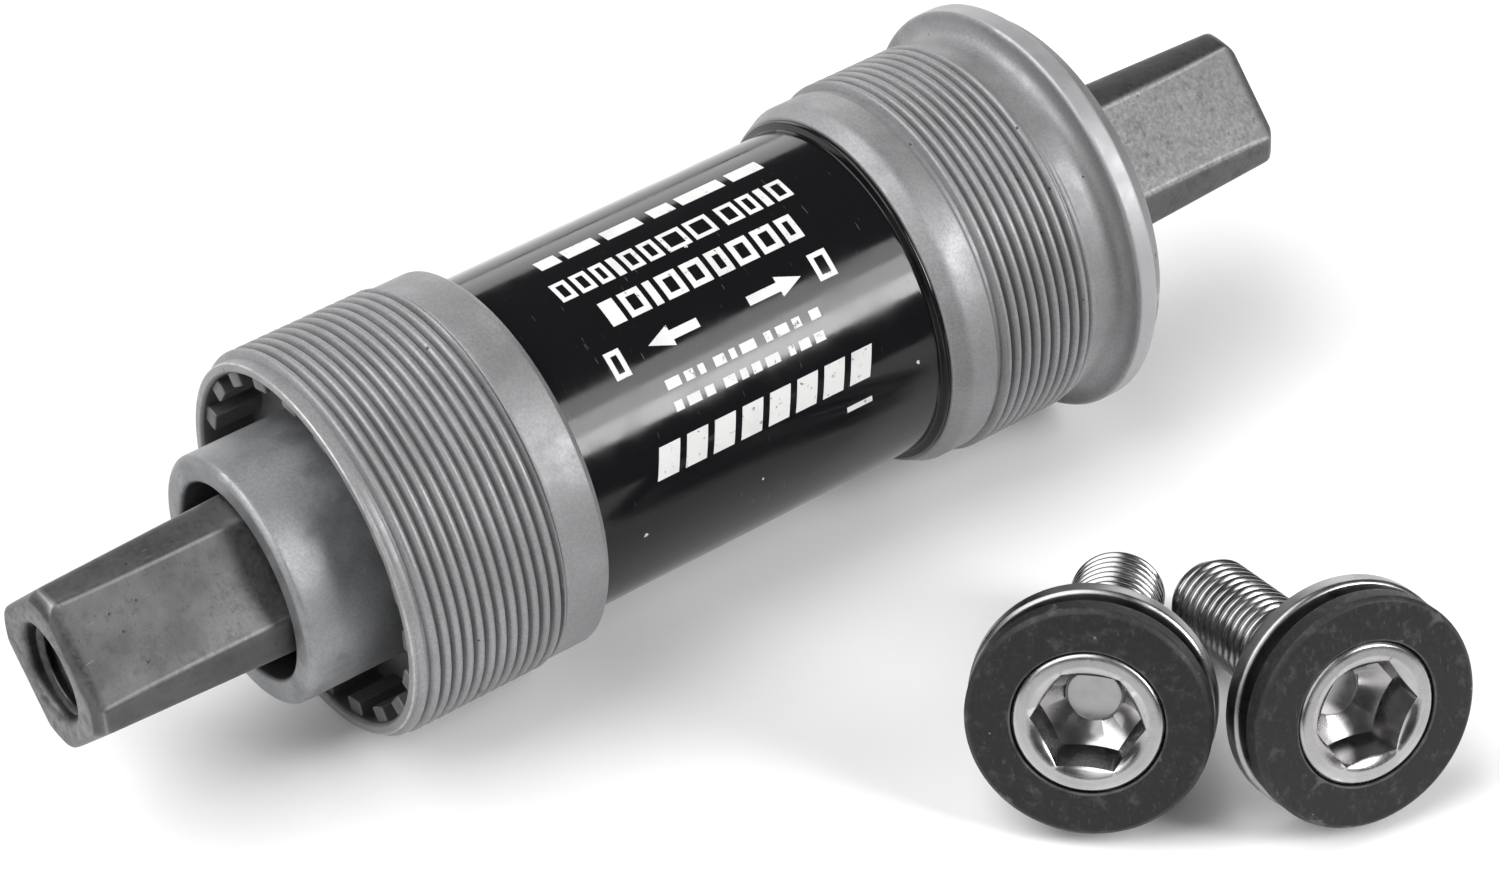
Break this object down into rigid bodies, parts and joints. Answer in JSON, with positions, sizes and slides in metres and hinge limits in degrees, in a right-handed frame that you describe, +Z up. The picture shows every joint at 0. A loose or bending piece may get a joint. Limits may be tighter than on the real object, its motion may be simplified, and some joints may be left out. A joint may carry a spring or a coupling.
{
  "type": "bottom bracket",
  "caption": "Sealed square-taper cartridge bottom bracket: an axle on ball bearings in a painted tube, with a flanged drive cup, a sliding left cup and loose crank bolts.",
  "frame": {"origin": "on the axle's axis, at the middle of the 73 mm frame shell", "axes": "+Y along the axle towards the left-hand crank (the drive side is -Y), +X towards the front of the bicycle, +Z up"},
  "size_m": [0.0849, 0.122, 0.0378],
  "materials": {
    "cup_steel": "satin",
    "tube_paint": "gloss",
    "axle_steel": "satin",
    "sleeve_steel": "satin",
    "bearing_steel": "polished",
    "cage_nylon": "satin",
    "seal_rubber": "matte",
    "spring_steel": "satin",
    "bolt_steel": "polished",
    "ring_plastic": "matte"
  },
  "bodies": {
    "cartridge": {"cartridge_tube": "tube_paint", "drive_cup": "cup_steel", "left_sleeve": "sleeve_steel", "left_seal": "seal_rubber", "drive_seal": "seal_rubber", "left_bearing_outer_race": "bearing_steel", "left_bearing_outboard_shield": "seal_rubber", "left_bearing_inboard_shield": "seal_rubber", "drive_bearing_outer_race": "bearing_steel", "drive_bearing_outboard_shield": "seal_rubber", "drive_bearing_inboard_shield": "seal_rubber"},
    "axle": {"axle": "axle_steel", "race_spacer": "spring_steel", "left_axle_clip": "spring_steel", "drive_axle_clip": "spring_steel", "left_bearing_inner_race": "bearing_steel", "drive_bearing_inner_race": "bearing_steel"},
    "left_ball_set": {"left_bearing_balls": "bearing_steel", "left_bearing_cage": "cage_nylon"},
    "drive_ball_set": {"drive_bearing_balls": "bearing_steel", "drive_bearing_cage": "cage_nylon"},
    "left_cup": {"left_cup": "cup_steel"},
    "left_crank_bolt": {"left_crank_bolt": "bolt_steel"},
    "drive_crank_bolt": {"drive_crank_bolt": "bolt_steel"},
    "left_bolt_ring": {"left_bolt_ring": "ring_plastic"},
    "drive_bolt_ring": {"drive_bolt_ring": "ring_plastic"}
  },
  "joints": [
    {"name": "axle_spin", "type": "hinge", "parent": "cartridge", "child": "axle", "pos_m": [0, 0, 0], "axis": [0, 1, 0], "continuous": true},
    {"name": "left_balls_roll", "type": "hinge", "parent": "cartridge", "child": "left_ball_set", "pos_m": [0, 0.0235, 0], "axis": [0, 1, 0], "continuous": true},
    {"name": "drive_balls_roll", "type": "hinge", "parent": "cartridge", "child": "drive_ball_set", "pos_m": [0, -0.0283, 0], "axis": [0, 1, 0], "continuous": true},
    {"name": "left_cup_slide", "type": "slide", "parent": "cartridge", "child": "left_cup", "axis": [0, 1, 0], "range_m": [0, 0.05]},
    {"name": "left_bolt_lift", "type": "slide", "parent": "cartridge", "child": "left_crank_bolt", "axis": [0, 0, 1], "range_m": [0, 0.04]},
    {"name": "left_bolt_ring_spin", "type": "hinge", "parent": "left_crank_bolt", "child": "left_bolt_ring", "pos_m": [-0.0501, -0.00503, -0.00706], "axis": [0.6683, -0.6833, -0.2941], "continuous": true},
    {"name": "drive_bolt_lift", "type": "slide", "parent": "cartridge", "child": "drive_crank_bolt", "axis": [0, 0, 1], "range_m": [0, 0.04]},
    {"name": "drive_bolt_ring_spin", "type": "hinge", "parent": "drive_crank_bolt", "child": "drive_bolt_ring", "pos_m": [-0.0628, -0.02333, -0.00747], "axis": [0.9421, -0.1803, -0.2829], "continuous": true}
  ],
  "couplings": [
    {"joint": "left_balls_roll", "follows": "axle_spin", "ratio": 0.42356},
    {"joint": "drive_balls_roll", "follows": "axle_spin", "ratio": 0.42356}
  ]
}
